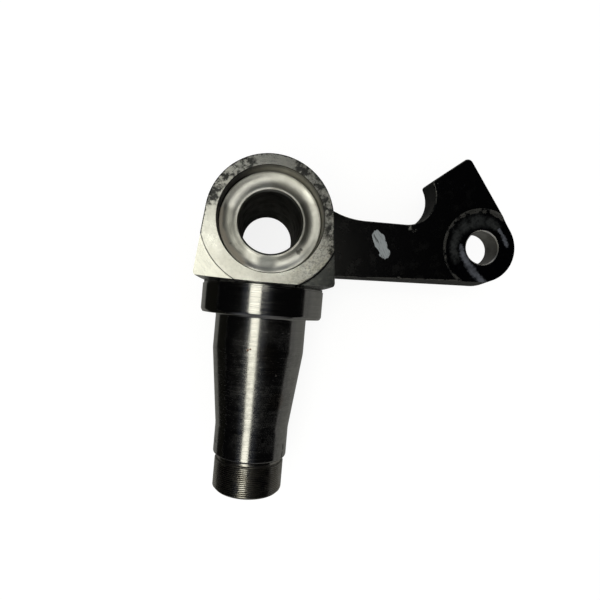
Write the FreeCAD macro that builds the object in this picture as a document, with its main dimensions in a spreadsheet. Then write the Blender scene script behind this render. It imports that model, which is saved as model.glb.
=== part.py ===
import FreeCAD
import Part
import Sketcher
import math
import os

# Steering knuckle of a small industrial truck: one steel forging.
# Frame: origin where the kingpin axis crosses the spindle axis, +Z up the
# kingpin bore, the wheel spindle along -Y, the steering arm along +X.

doc = FreeCAD.newDocument("SteeringKnuckle")

SIZES = {
    # Kingpin boss
    "boss_height": 78.0,
    "boss_back_radius": 30.5,
    "boss_side_angle": 6.0,
    "boss_shift_across": -0.45,
    "boss_shift_back": 0.4,
    "boss_front_radius": 2.6,
    "boss_face_diameter": 67.4,
    "boss_face_step": 1.2,
    "boss_face_break": 0.4,
    # Kingpin bore and thrust seat
    "bore_diameter": 31.0,
    "bore_lead_in": 0.9,
    "seat_diameter": 51.0,
    "seat_depth": 9.6,
    "seat_corner_bevel": 0.6,
    "seat_lead_in": 0.3,
    "race_outer_diameter": 48.4,
    "race_inner_diameter": 34.6,
    "race_radius": 9.0,
    # Collar, turned from the front of the block
    "collar_diameter": 66.6,
    "collar_back": 30.3,
    "collar_width": 16.7,
    "collar_bevel_along": 1.6,
    "collar_bevel_in": 0.9,
    "collar_relief_width": 1.3,
    "collar_relief_depth": 0.5,
    "front_cone_angle": 3.0,
    # Spindle
    "inner_journal_diameter": 50.0,
    "inner_journal_length": 19.2,
    "journal_root_radius": 1.2,
    "taper_length": 41.0,
    "outer_journal_diameter": 40.1,
    "outer_journal_length": 16.0,
    "outer_journal_bevel": 1.0,
    "thread_length": 18.7,
    "thread_diameter": 37.7,
    "thread_bevel": 1.3,
    "undercut_diameter": 35.6,
    "undercut_width": 1.7,
    "centre_hole_diameter": 4.0,
    "centre_hole_depth": 9.0,
    "centre_tip_depth": 1.0,
    "centre_cone_diameter": 8.5,
    "centre_cone_half_angle": 30.0,
    # Steering arm
    "arm_underside": 0.0,
    "arm_thickness": 16.0,
    "arm_root_low": 23.2,
    "arm_blend_radius": 42.0,
    "arm_blend_bite": 1.2,
    "arm_upper_slope": 1.0,
    "arm_edge_radius": 0.8,
    "arm_root_fillet": 1.6,
    # Eye for the link pin
    "eye_across": 118.3,
    "eye_up": 1.1,
    "eye_radius": 18.9,
    "eye_draft": 2.1,
    "eye_hole_diameter": 18.1,
    "eye_hole_lead_in": 0.8,
    # Recess round the eye
    "recess_across": 117.6,
    "recess_diameter": 45.2,
    "recess_depth": 1.8,
    "recess_corner_radius": 4.0,
    # Lug and round notch
    "lug_edge_from_eye": 45.8,
    "lug_edge_angle": 38.4,
    "lug_side_angle": 54.2,
    "lug_corner_radius": 3.2,
    "notch_across": 73.1,
    "notch_up": 24.8,
    "notch_diameter": 31.4,
    "notch_tip_radius": 1.8,
}

sheet = doc.addObject("Spreadsheet::Sheet", "Sizes")
for row, (alias, number) in enumerate(SIZES.items(), start=1):
    sheet.set("A%d" % row, alias)
    sheet.set("B%d" % row, str(number))
    sheet.setAlias("B%d" % row, alias)
doc.recompute()


class Size:
    """A length with its value now and the formula that keeps it bound to the sheet."""

    def __init__(self, value, formula):
        self.value = value
        self.formula = formula

    def _joined(self, other, sign, value):
        formula = other.formula if isinstance(other, Size) else repr(float(other))
        return Size(value, "(%s %s %s)" % (self.formula, sign, formula))

    def __add__(self, other):
        return self._joined(other, "+", self.value + number_of(other))

    def __sub__(self, other):
        return self._joined(other, "-", self.value - number_of(other))

    def __mul__(self, other):
        return self._joined(other, "*", self.value * number_of(other))

    def __truediv__(self, other):
        return self._joined(other, "/", self.value / number_of(other))

    def __neg__(self):
        return Size(-self.value, "(0 - %s)" % self.formula)


def number_of(thing):
    return thing.value if isinstance(thing, Size) else float(thing)


def size(alias):
    return Size(SIZES[alias], "Sizes." + alias)


def slope(alias):
    """The tangent of an angle kept in the sheet in degrees."""
    value = math.tan(math.radians(SIZES[alias]))
    return Size(value, "tan(Sizes.%s * 1deg)" % alias)


def sine(alias):
    value = math.sin(math.radians(SIZES[alias]))
    return Size(value, "sin(Sizes.%s * 1deg)" % alias)


def cosine(alias):
    value = math.cos(math.radians(SIZES[alias]))
    return Size(value, "cos(Sizes.%s * 1deg)" % alias)


def leg(long_side, short_side):
    """The third side of a right triangle, from its longest side and one other."""
    value = math.sqrt(long_side.value ** 2 - short_side.value ** 2)
    return Size(value, "sqrt(%s ^ 2 - %s ^ 2)" % (long_side.formula, short_side.formula))


ZERO = Size(0.0, "0")
HALF_TURN = Size(180.0, "180")
FULL_TURN = 360.0
QUARTER_TURN = 90.0
TOUCH = 0.001
UP = FreeCAD.Vector(0, 0, 1)
ADDS = 1
CUTS = -1


def new_sketch(body, name, plane_role, across=ZERO, up=ZERO, out=ZERO):
    """A sketch on one of the body's own origin planes, shifted in that plane's axes."""
    sketch = body.newObject("Sketcher::SketchObject", name)
    planes = [f for f in body.Origin.OriginFeatures if f.Role == plane_role]
    sketch.AttachmentSupport = [(planes[0], "")]
    sketch.MapMode = "FlatFace"
    sketch.AttachmentOffset = FreeCAD.Placement(
        FreeCAD.Vector(across.value, up.value, out.value), FreeCAD.Rotation())
    for axis, shift in (("x", across), ("y", up), ("z", out)):
        if shift is not ZERO:
            sketch.setExpression("AttachmentOffset.Base." + axis, shift.formula)
    return sketch


def bind(sketch, kind, *where, length):
    """A dimension in the sketch that follows the sheet."""
    index = sketch.addConstraint(Sketcher.Constraint(kind, *where, length.value))
    sketch.setExpression("Constraints[%d]" % index, length.formula)


def bind_angle(sketch, line, heading):
    """The direction of a line from +X, in degrees."""
    index = sketch.addConstraint(
        Sketcher.Constraint("Angle", line, math.radians(heading.value)))
    sketch.setExpression("Constraints[%d]" % index, heading.formula)


def bind_point(sketch, geometry, position, across, up):
    """Hold one end or the centre of a line or arc at the given place."""
    bind(sketch, "DistanceX", -1, 1, geometry, position, length=across)
    bind(sketch, "DistanceY", -1, 1, geometry, position, length=up)


def vector(across, up):
    return FreeCAD.Vector(number_of(across), number_of(up), 0)


def outline(sketch, corners):
    """A closed outline through corners, each (across, up) or (across, up, radius).

    A radius bends the edge that leaves its corner into an arc that curves
    to the left as the outline is walked; a negative one curves to the right.
    """
    count = len(corners)
    for index in range(count):
        start = vector(*corners[index][:2])
        end = vector(*corners[(index + 1) % count][:2])
        if len(corners[index]) == 2:
            sketch.addGeometry(Part.LineSegment(start, end), False)
            continue
        radius = abs(corners[index][2].value)
        bend = math.copysign(1.0, corners[index][2].value)
        chord = end - start
        left = FreeCAD.Vector(-chord.y, chord.x, 0).normalize()
        rise = math.sqrt(radius ** 2 - (chord.Length / 2) ** 2)
        centre = (start + end) / 2 + left * rise * bend
        first, last = (start, end) if bend > 0 else (end, start)
        angles = (angle_of(first, centre), angle_of(last, centre))
        sketch.addGeometry(Part.ArcOfCircle(Part.Circle(centre, UP, radius), *angles), False)
    ends = [(1, 2) if len(c) == 2 or c[2].value > 0 else (2, 1) for c in corners]
    for index in range(count):
        after = (index + 1) % count
        sketch.addConstraint(Sketcher.Constraint(
            "Coincident", index, ends[index][1], after, ends[after][0]))
    for index, corner in enumerate(corners):
        bind_point(sketch, index, ends[index][0], corner[0], corner[1])
        if len(corner) == 3:
            radius = corner[2] if corner[2].value > 0 else -corner[2]
            bind(sketch, "Radius", index, length=radius)


def angle_of(point, centre):
    return math.atan2(point.y - centre.y, point.x - centre.x)


def polar(centre, radius, degrees):
    """The point of a circle at an angle from +X."""
    return centre + direction(degrees) * radius


def direction(degrees):
    angle = math.radians(degrees)
    return FreeCAD.Vector(math.cos(angle), math.sin(angle), 0)


def first_at_reach(point, along, centre, reach):
    """Of the two points of a line that lie at a reach from a centre, the earlier one."""
    offset = point - centre
    half = offset.dot(along)
    root = math.sqrt(half ** 2 - offset.dot(offset) + reach ** 2)
    return point + along * (-half - root)


def arm_outline(body, name, height, eye_radius):
    """The arm seen along the kingpin axis, walked counter-clockwise from its root.

    Lower edge, eye, lug side, lug corner, lug edge, notch tip, round notch,
    upper edge, and the sweeping blend that runs into the back of the boss.
    """
    sketch = new_sketch(body, name, "XY_Plane", out=height)
    blend_circle = size("boss_back_radius") - size("arm_blend_bite")
    boss_centre = (size("boss_shift_across"), size("boss_shift_back"))
    boss_middle = vector(*boss_centre)
    eye = vector(size("eye_across"), size("eye_up"))
    notch = vector(size("notch_across"), size("notch_up"))
    notch_radius = size("notch_diameter") / 2
    eye_reach = eye_radius.value
    headings = [HALF_TURN - size("lug_side_angle"), HALF_TURN + size("lug_edge_angle"),
                HALF_TURN + size("arm_upper_slope")]
    side_heading, edge_heading, upper_heading = [heading.value for heading in headings]

    # Lower edge, from inside the boss to its touch on the eye
    root_across = blend_circle + boss_centre[0]
    root = vector(root_across, -size("arm_root_low"))
    reach = eye - root
    swing = math.degrees(math.atan2(reach.y, reach.x) - math.asin(eye_reach / reach.Length))
    low_touch = polar(root, math.sqrt(reach.Length ** 2 - eye_reach ** 2), swing)

    # Lug side, corner and edge
    side_touch = polar(eye, eye_reach, side_heading - QUARTER_TURN)
    corner_radius = SIZES["lug_corner_radius"]
    inner_side = polar(eye, eye_reach - corner_radius, side_heading - QUARTER_TURN)
    edge_point = polar(eye, SIZES["lug_edge_from_eye"], edge_heading - QUARTER_TURN)
    inner_edge = polar(edge_point, corner_radius, edge_heading + QUARTER_TURN)
    side_way = direction(side_heading)
    edge_normal = direction(edge_heading + QUARTER_TURN)
    run = (inner_edge - inner_side).dot(edge_normal) / side_way.dot(edge_normal)
    corner = inner_side + side_way * run
    corner_start = polar(corner, corner_radius, side_heading - QUARTER_TURN)
    corner_end = polar(corner, corner_radius, edge_heading - QUARTER_TURN)

    # Notch tip between lug edge and notch
    tip_radius = SIZES["notch_tip_radius"]
    tip_line = polar(edge_point, tip_radius, edge_heading + QUARTER_TURN)
    tip = first_at_reach(tip_line, direction(edge_heading), notch,
                         notch_radius.value + tip_radius)
    tip_start = polar(tip, tip_radius, edge_heading - QUARTER_TURN)
    tip_end = tip + (notch - tip).normalize() * tip_radius

    # Upper edge and the blend into the boss
    upper_start = polar(notch, notch_radius.value, upper_heading + QUARTER_TURN)
    blend_radius = SIZES["arm_blend_radius"]
    blend_line = polar(upper_start, blend_radius, upper_heading - QUARTER_TURN)
    blend = first_at_reach(blend_line, direction(upper_heading), boss_middle,
                           blend_circle.value + blend_radius)
    upper_end = polar(blend, blend_radius, upper_heading + QUARTER_TURN)
    blend_end = boss_middle + (blend - boss_middle).normalize() * blend_circle.value

    def line(start, end):
        return sketch.addGeometry(Part.LineSegment(start, end), False)

    def arc(centre, radius, start, end):
        circle = Part.Circle(centre, UP, radius)
        ends = (angle_of(start, centre), angle_of(end, centre))
        return sketch.addGeometry(Part.ArcOfCircle(circle, *ends), False)

    lower = line(root, low_touch)
    eye_arc = arc(eye, eye_reach, low_touch, side_touch)
    side = line(side_touch, corner_start)
    corner_arc = arc(corner, corner_radius, corner_start, corner_end)
    edge = line(corner_end, tip_start)
    tip_arc = arc(tip, tip_radius, tip_start, tip_end)
    notch_arc = arc(notch, notch_radius.value, upper_start, tip_end)
    upper = line(upper_start, upper_end)
    blend_arc = arc(blend, blend_radius, blend_end, upper_end)
    to_centre = line(blend_end, FreeCAD.Vector())
    from_centre = line(FreeCAD.Vector(), root)
    boss = sketch.addGeometry(Part.Circle(boss_middle, UP, blend_circle.value), True)

    smooth_joins = [
        (lower, 2, eye_arc, 1), (eye_arc, 2, side, 1), (side, 2, corner_arc, 1),
        (corner_arc, 2, edge, 1), (edge, 2, tip_arc, 1), (tip_arc, 2, notch_arc, 2),
        (notch_arc, 1, upper, 1), (upper, 2, blend_arc, 2)]
    for join in smooth_joins:
        sketch.addConstraint(Sketcher.Constraint("Tangent", *join))
    sketch.addConstraint(Sketcher.Constraint("Tangent", blend_arc, 1, boss))
    sketch.addConstraint(Sketcher.Constraint("Coincident", to_centre, 1, blend_arc, 1))
    sketch.addConstraint(Sketcher.Constraint("Coincident", to_centre, 2, -1, 1))
    sketch.addConstraint(Sketcher.Constraint("Coincident", from_centre, 1, -1, 1))
    sketch.addConstraint(Sketcher.Constraint("Coincident", from_centre, 2, lower, 1))

    bind_point(sketch, boss, 3, *boss_centre)
    bind_point(sketch, lower, 1, root_across, -size("arm_root_low"))
    bind_point(sketch, eye_arc, 3, size("eye_across"), size("eye_up"))
    bind_point(sketch, notch_arc, 3, size("notch_across"), size("notch_up"))
    bind(sketch, "Radius", eye_arc, length=eye_radius)
    bind(sketch, "Radius", corner_arc, length=size("lug_corner_radius"))
    bind(sketch, "Radius", tip_arc, length=size("notch_tip_radius"))
    bind(sketch, "Radius", notch_arc, length=notch_radius)
    bind(sketch, "Radius", blend_arc, length=size("arm_blend_radius"))
    bind(sketch, "Radius", boss, length=blend_circle)
    bind(sketch, "Distance", eye_arc, 3, edge, length=size("lug_edge_from_eye"))
    for straight, heading in zip((side, edge, upper), headings):
        bind_angle(sketch, straight, heading)
    return sketch


def built(feature, before, change):
    """Recompute, and stop unless the feature made the change in volume that it is for."""
    doc.recompute()
    if feature.Shape.isNull() or not feature.Shape.isValid():
        raise RuntimeError(feature.Name + " has no valid shape")
    if change * (feature.Shape.Volume - before) <= 0:
        raise RuntimeError(feature.Name + " did not change the solid as it should")
    return feature


def loft(body, name, first, last):
    feature = body.newObject("PartDesign::AdditiveLoft", name)
    feature.Profile = first
    feature.Sections = [last]
    feature.Ruled = True
    return built(feature, 0, ADDS)


def pad(body, name, sketch, length):
    before = body.Shape.Volume
    feature = body.newObject("PartDesign::Pad", name)
    feature.Profile = sketch
    feature.setExpression("Length", length.formula)
    return built(feature, before, ADDS)


def pocket(body, name, sketch):
    """A straight cut through the whole body, both ways from the sketch."""
    before = body.Shape.Volume
    feature = body.newObject("PartDesign::Pocket", name)
    feature.Profile = sketch
    feature.Type = "ThroughAll"
    feature.Midplane = True
    return built(feature, before, CUTS)


def turn(body, name, sketch, change):
    """A turned form about the sketch's upright axis, added or cut away."""
    before = body.Shape.Volume
    kind = "PartDesign::Revolution" if change == ADDS else "PartDesign::Groove"
    feature = body.newObject(kind, name)
    feature.Profile = sketch
    feature.ReferenceAxis = (sketch, ["V_Axis"])
    feature.Angle = FULL_TURN
    return built(feature, before, change)


def fillet(body, name, base, wanted, radius, change):
    """Round the edges of the base whose middle point passes the test."""
    names = []
    for index, edge in enumerate(base.Shape.Edges, start=1):
        middle = edge.valueAt((edge.FirstParameter + edge.LastParameter) / 2)
        if wanted(edge, middle):
            names.append("Edge%d" % index)
    feature = body.newObject("PartDesign::Fillet", name)
    feature.Base = (base, names)
    feature.setExpression("Radius", radius.formula)
    return built(feature, base.Shape.Volume, change)


body = doc.addObject("PartDesign::Body", "SteeringKnuckle")
body.Label = "steering_knuckle"

# Levels and radii that several features share
half_height = size("boss_height") / 2
face_level = half_height - size("boss_face_step")
underside = size("arm_underside")
arm_top = underside + size("arm_thickness")
back_radius = size("boss_back_radius")
shift_across = size("boss_shift_across")
shift_back = size("boss_shift_back")
spread = slope("boss_side_angle")
touch_across = back_radius * cosine("boss_side_angle")
touch_up = back_radius * sine("boss_side_angle")
collar_back = size("collar_back")
collar_front = collar_back + size("collar_width")
collar_radius = size("collar_diameter") / 2
clear_of_block = size("boss_height")


def off_the_boss(point):
    """How far a point of the arm stands off the wall of the boss."""
    across = point.x - shift_across.value
    up = point.y - shift_back.value
    if up > touch_up.value:
        return math.hypot(across, up) - back_radius.value
    return across - touch_across.value - (touch_up.value - up) * spread.value


def on_arm_face(edge, middle):
    """Along the arm's top face or its underside, outside the boss."""
    levels = (underside.value, arm_top.value)
    level = edge.BoundBox.ZLength < TOUCH
    return level and min(abs(middle.z - height) for height in levels) < TOUCH


# Steering arm: forged with draft, so the eye is wider on the underside
arm_low = arm_outline(body, "ArmUnderside", underside, size("eye_radius") + size("eye_draft"))
arm_high = arm_outline(body, "ArmTop", arm_top, size("eye_radius"))
arm = loft(body, "Arm", arm_high, arm_low)
fillet(body, "ArmRim", arm,
       lambda edge, middle: on_arm_face(edge, middle) and off_the_boss(middle) > TOUCH,
       size("arm_edge_radius"), CUTS)

# Kingpin boss: round back, sides that spread towards the front
front_half = touch_across + (collar_front + touch_up + shift_back) * spread
block = new_sketch(body, "BossOutline", "XY_Plane", shift_across, shift_back, -half_height)
outline(block, [
    (-front_half, -collar_front - shift_back),
    (front_half, -collar_front - shift_back),
    (touch_across, touch_up, back_radius),
    (-touch_across, touch_up),
])
boss = pad(body, "Boss", block, size("boss_height"))
fillet(body, "ArmRootFillet", boss,
       lambda edge, middle: on_arm_face(edge, middle) and abs(off_the_boss(middle)) < TOUCH,
       size("arm_root_fillet"), ADDS)

# Front of the block, turned about the spindle axis: a shallow cone round the
# collar, the grinding relief at its foot, the collar itself and its bevel
relief_radius = collar_radius - size("collar_relief_depth")
relief_front = collar_back + size("collar_relief_width")
bevel_radius = collar_radius - size("collar_bevel_in")
bevel_start = collar_front - size("collar_bevel_along")
cone_rise = (clear_of_block - collar_radius) * slope("front_cone_angle")
front = new_sketch(body, "FrontProfile", "XY_Plane")
outline(front, [
    (relief_radius, -collar_back),
    (relief_radius, -relief_front),
    (collar_radius, -relief_front),
    (collar_radius, -bevel_start),
    (bevel_radius, -collar_front),
    (bevel_radius, -collar_front - size("collar_bevel_along")),
    (clear_of_block, -collar_front - size("collar_bevel_along")),
    (clear_of_block, -collar_back + cone_rise),
    (collar_radius, -collar_back),
])
turn(body, "TurnedFront", front, CUTS)

# The forging's two front corners are round
corner_radius = size("boss_front_radius")
corner_run = corner_radius * (sine("boss_side_angle") + 1) / cosine("boss_side_angle")
block_front = collar_back + shift_back
corner_half = touch_across + (block_front + touch_up) * spread
rounded_up = corner_run * cosine("boss_side_angle") - block_front
rounded_across = corner_half - corner_run * sine("boss_side_angle")
for name, side in (("RightFrontCorner", 1), ("LeftFrontCorner", -1)):
    corner = new_sketch(body, name + "Outline", "XY_Plane", shift_across, shift_back)
    outline(corner, [
        ((corner_half - corner_run) * side, -block_front),
        ((corner_half + corner_radius) * side, -block_front),
        ((corner_half + corner_radius) * side, rounded_up),
        (rounded_across * side, rounded_up, -corner_radius * side),
    ])
    pocket(body, name, corner)

# Machined round face at each end of the boss, a step above the forged corners
face_radius = size("boss_face_diameter") / 2
face_break = size("boss_face_break")
for name, end in (("TopFace", 1), ("LowerFace", -1)):
    ring = new_sketch(body, name + "Ring", "XZ_Plane")
    outline(ring, [
        (face_radius, face_level * end),
        (clear_of_block, face_level * end),
        (clear_of_block, (half_height + face_break) * end),
        (face_radius - face_break * 2, (half_height + face_break) * end),
        (face_radius, (half_height - face_break) * end),
    ])
    turn(body, name, ring, CUTS)

# Spindle, turned about its own axis and rooted inside the collar: inner
# bearing journal, taper, outer journal, thread relief, thread and centre hole
inner_radius = size("inner_journal_diameter") / 2
outer_radius = size("outer_journal_diameter") / 2
thread_radius = size("thread_diameter") / 2
undercut_radius = size("undercut_diameter") / 2
root_radius = size("journal_root_radius")
taper_start = collar_front + size("inner_journal_length")
taper_end = taper_start + size("taper_length")
shoulder = taper_end + size("outer_journal_length")
undercut_end = shoulder + size("undercut_width")
spindle_end = shoulder + size("thread_length")
centre_radius = size("centre_hole_diameter") / 2
centre_floor = spindle_end - size("centre_hole_depth")
centre_mouth = size("centre_cone_diameter") / 2
centre_cone = (centre_mouth - centre_radius) / slope("centre_cone_half_angle")
spindle = new_sketch(body, "SpindleProfile", "XY_Plane")
outline(spindle, [
    (ZERO, -relief_front),
    (ZERO, -centre_floor),
    (centre_radius, -centre_floor - size("centre_tip_depth")),
    (centre_radius, -spindle_end + centre_cone),
    (centre_mouth, -spindle_end),
    (thread_radius - size("thread_bevel"), -spindle_end),
    (thread_radius, -spindle_end + size("thread_bevel")),
    (thread_radius, -undercut_end - thread_radius + undercut_radius),
    (undercut_radius, -undercut_end),
    (undercut_radius, -shoulder),
    (outer_radius - size("outer_journal_bevel"), -shoulder),
    (outer_radius, -shoulder + size("outer_journal_bevel")),
    (outer_radius, -taper_end),
    (inner_radius, -taper_start),
    (inner_radius, -collar_front - root_radius, -root_radius),
    (inner_radius + root_radius, -collar_front),
    (inner_radius + root_radius, -relief_front),
])
turn(body, "TurnedSpindle", spindle, ADDS)

# Kingpin bore and the seat of its thrust bearing, with a dished race as floor
bore_radius = size("bore_diameter") / 2
bore_lead = size("bore_lead_in")
seat_radius = size("seat_diameter") / 2
seat_lead = size("seat_lead_in")
seat_floor = half_height - size("seat_depth")
seat_foot = size("seat_corner_bevel")
bore = new_sketch(body, "BoreProfile", "XZ_Plane")
outline(bore, [
    (ZERO, half_height + seat_lead),
    (seat_radius + seat_lead * 2, half_height + seat_lead),
    (seat_radius, half_height - seat_lead),
    (seat_radius, seat_floor + seat_foot),
    (seat_radius - seat_foot, seat_floor),
    (size("race_outer_diameter") / 2, seat_floor, -size("race_radius")),
    (size("race_inner_diameter") / 2, seat_floor),
    (bore_radius + bore_lead, seat_floor),
    (bore_radius, seat_floor - bore_lead),
    (bore_radius, -half_height + bore_lead),
    (bore_radius + bore_lead * 2, -half_height - bore_lead),
    (ZERO, -half_height - bore_lead),
])
turn(body, "KingpinBore", bore, CUTS)

# Shallow recess round the eye, which runs out through the eye's rim
recess_depth = size("recess_depth")
recess_foot = size("recess_corner_radius")
recess_radius = size("recess_diameter") / 2
foot_run = leg(recess_foot, recess_foot - recess_depth)
recess = new_sketch(body, "RecessProfile", "XZ_Plane", size("recess_across"), arm_top)
outline(recess, [
    (ZERO, recess_depth),
    (recess_radius, recess_depth),
    (recess_radius, ZERO, -recess_foot),
    (recess_radius - foot_run, -recess_depth),
    (ZERO, -recess_depth),
])
turn(body, "EyeRecess", recess, CUTS)

# Drilled hole for the link pin, with a lead-in at both ends
eye_hole_radius = size("eye_hole_diameter") / 2
eye_lead = size("eye_hole_lead_in")
eye_floor = arm_top - recess_depth
eye = new_sketch(body, "EyeProfile", "XZ_Plane", size("eye_across"), out=-size("eye_up"))
outline(eye, [
    (ZERO, eye_floor + eye_lead),
    (eye_hole_radius + eye_lead * 2, eye_floor + eye_lead),
    (eye_hole_radius, eye_floor - eye_lead),
    (eye_hole_radius, underside + eye_lead),
    (eye_hole_radius + eye_lead * 2, underside - eye_lead),
    (ZERO, underside - eye_lead),
])
turn(body, "EyeHole", eye, CUTS)

# Nothing is written unless every object is sound
for item in doc.Objects:
    if "Invalid" in item.State or "Error" in item.State:
        raise RuntimeError(item.Name + " failed")
    if item.isDerivedFrom("Sketcher::SketchObject") and not item.FullyConstrained:
        raise RuntimeError(item.Name + " is not held by its dimensions")
if body.Shape.isNull() or not body.Shape.isValid() or len(body.Shape.Solids) != 1:
    raise RuntimeError("the knuckle is not one sound solid")

os.makedirs("parts", exist_ok=True)
body.Shape.exportStep("parts/%s.step" % body.Label)
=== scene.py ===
import math

import bmesh
import bpy
from mathutils import Matrix, Vector


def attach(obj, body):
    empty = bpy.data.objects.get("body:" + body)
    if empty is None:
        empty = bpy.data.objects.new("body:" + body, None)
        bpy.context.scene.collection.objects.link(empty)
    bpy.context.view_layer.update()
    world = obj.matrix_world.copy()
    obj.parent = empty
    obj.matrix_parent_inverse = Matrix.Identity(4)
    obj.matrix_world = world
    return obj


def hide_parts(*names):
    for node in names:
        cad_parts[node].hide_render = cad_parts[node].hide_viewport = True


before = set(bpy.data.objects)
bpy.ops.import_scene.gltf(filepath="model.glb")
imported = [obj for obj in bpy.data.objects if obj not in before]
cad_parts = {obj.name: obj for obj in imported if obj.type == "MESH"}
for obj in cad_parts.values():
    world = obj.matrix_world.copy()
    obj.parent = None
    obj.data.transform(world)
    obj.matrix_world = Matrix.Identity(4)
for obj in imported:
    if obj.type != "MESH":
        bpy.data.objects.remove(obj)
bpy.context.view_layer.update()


# The forging: kingpin boss and steering arm, one piece of forged steel.
# The boss ends, the thrust seat, the bore and the eye's hole are machined bright,
# and what stays as forged is sprayed black.

MM = 0.001
WHOLE = "steering_knuckle"
MERGE_WITHIN = 0.001 * MM

COLLAR_CUT = -31.0 * MM
BOSS_END_LEVEL = 36.5 * MM
SEAT_RADIUS = 25.9 * MM
SEAT_LEVEL = 28.6 * MM
BORE_RADIUS = 16.5 * MM
EYE_CENTRE = Vector((118.3, 1.1, 0)) * MM
EYE_HOLE_RADIUS = 9.9 * MM
FRONT_FACE = -24.0 * MM
SHARP_EDGE = math.radians(24)

# Parts of a face's normal: up to which it is a wall, from which an end, level, or the front
WALL_RISE = 0.9
END_RISE = 0.25
LEVEL_RISE = 0.999
FRONT_TURN = -0.7

MACHINED, SEAT, BORE, PAINT, EYE = range(5)


def finish_at(centre, normal):
    """Which finish the forging has at this place."""
    from_bore = centre.xy.length
    from_eye = (centre.xy - EYE_CENTRE.xy).length
    if from_bore < BORE_RADIUS and centre.z < SEAT_LEVEL:
        return BORE
    if from_bore < SEAT_RADIUS and centre.z > SEAT_LEVEL:
        return SEAT
    if from_eye < EYE_HOLE_RADIUS and abs(normal.z) < WALL_RISE:
        return EYE
    if abs(centre.z) > BOSS_END_LEVEL and abs(normal.z) > END_RISE:
        return MACHINED
    if normal.y < FRONT_TURN and centre.y < FRONT_FACE:
        return MACHINED
    return PAINT


def smooth_where_soft(shape):
    """Smooth shading, with the edges kept where two faces meet at a clear angle."""
    for face in shape.faces:
        face.smooth = True
    for edge in shape.edges:
        edge.smooth = edge.is_manifold and edge.calc_face_angle(0) < SHARP_EDGE


def new_piece(name, shape):
    """A piece of the scene made from a finished bmesh, which is closed."""
    mesh = bpy.data.meshes.new(name)
    shape.to_mesh(mesh)
    shape.free()
    piece = bpy.data.objects.new(name, mesh)
    bpy.context.scene.collection.objects.link(piece)
    return piece


forged = bmesh.new()
forged.from_mesh(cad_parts[WHOLE].data)
bmesh.ops.remove_doubles(forged, verts=forged.verts, dist=MERGE_WITHIN)
cut = bmesh.ops.bisect_plane(
    forged,
    geom=forged.verts[:] + forged.edges[:] + forged.faces[:],
    plane_co=(0, COLLAR_CUT, 0),
    plane_no=(0, -1, 0),
    clear_outer=True,
)
cut_rim = [e for e in cut["geom_cut"] if isinstance(e, bmesh.types.BMEdge)]
bmesh.ops.holes_fill(forged, edges=cut_rim, sides=0)
forged.normal_update()
for face in forged.faces:
    face.material_index = finish_at(face.calc_center_median(), face.normal)
smooth_where_soft(forged)
forging = new_piece("forging", forged)
even_faces = forging.modifiers.new("even_faces", "WEIGHTED_NORMAL")
even_faces.keep_sharp = True
evened = forging.evaluated_get(bpy.context.evaluated_depsgraph_get())
corner_normals = [corner.vector.copy() for corner in evened.to_mesh().corner_normals]
evened.to_mesh_clear()
forging.modifiers.remove(even_faces)

# The machined faces are true circles, so each corner's shading points from its own axis.
TURNED_ABOUT = {SEAT: Vector(), BORE: Vector(), MACHINED: Vector(), EYE: EYE_CENTRE}
for polygon in forging.data.polygons:
    if polygon.material_index not in TURNED_ABOUT or polygon.normal.y < FRONT_TURN:
        continue
    axis = TURNED_ABOUT[polygon.material_index]
    for loop in polygon.loop_indices:
        place = forging.data.vertices[forging.data.loops[loop].vertex_index].co
        outward = (place - axis) * Vector((1, 1, 0))
        outward.normalize()
        rise = corner_normals[loop].z
        if outward.dot(polygon.normal) < 0:
            outward.negate()
        if abs(polygon.normal.z) > LEVEL_RISE:
            corner_normals[loop] = Vector((0, 0, math.copysign(1, rise)))
        else:
            level_part = math.sqrt(max(0, 1 - rise * rise))
            corner_normals[loop] = outward * level_part + Vector((0, 0, rise))
forging.data.normals_split_custom_set(corner_normals)


def add_node(tree, kind, sockets=None, **settings):
    """A node with its settings, and values or links on its input sockets."""
    made = tree.nodes.new(kind)
    for name, value in settings.items():
        setattr(made, name, value)
    for name, value in (sockets or {}).items():
        if isinstance(value, bpy.types.NodeSocket):
            tree.links.new(value, made.inputs[name])
        else:
            made.inputs[name].default_value = value
    return made


def calc(tree, operation, first, second=0.0):
    """One sum on two numbers or sockets."""
    made = add_node(tree, "ShaderNodeMath", {0: first, 1: second}, operation=operation)
    return made.outputs[0]


def vector_calc(tree, operation, first, second=(0, 0, 0), output="Vector"):
    """One sum on two vectors or sockets."""
    sockets = {0: first, 1: second}
    return add_node(tree, "ShaderNodeVectorMath", sockets, operation=operation).outputs[output]


def part_of(tree, vector, axis):
    """One coordinate of a vector."""
    return add_node(tree, "ShaderNodeSeparateXYZ", {0: vector}).outputs[axis]


def fade(tree, value, low, high, at_low=0.0, at_high=1.0):
    """A number that goes smoothly from at_low to at_high while the value goes from low to high."""
    sockets = {
        "Value": value, "From Min": low, "From Max": high, "To Min": at_low, "To Max": at_high,
    }
    made = add_node(tree, "ShaderNodeMapRange", sockets, interpolation_type="SMOOTHSTEP")
    return made.outputs["Result"]


def both(tree, *masks):
    """A mask that is on only where all of these are."""
    total = masks[0]
    for mask in masks[1:]:
        total = calc(tree, "MULTIPLY", total, mask)
    return total


def either(tree, *masks):
    """A mask that is on where any of these is."""
    total = masks[0]
    for mask in masks[1:]:
        total = calc(tree, "MAXIMUM", total, mask)
    return total


def summed(tree, base, *changes):
    """A base number plus each mask times its amount."""
    total = base
    for mask, amount in changes:
        sockets = {0: mask, 1: amount, 2: total}
        total = add_node(tree, "ShaderNodeMath", sockets, operation="MULTIPLY_ADD").outputs[0]
    return total


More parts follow.
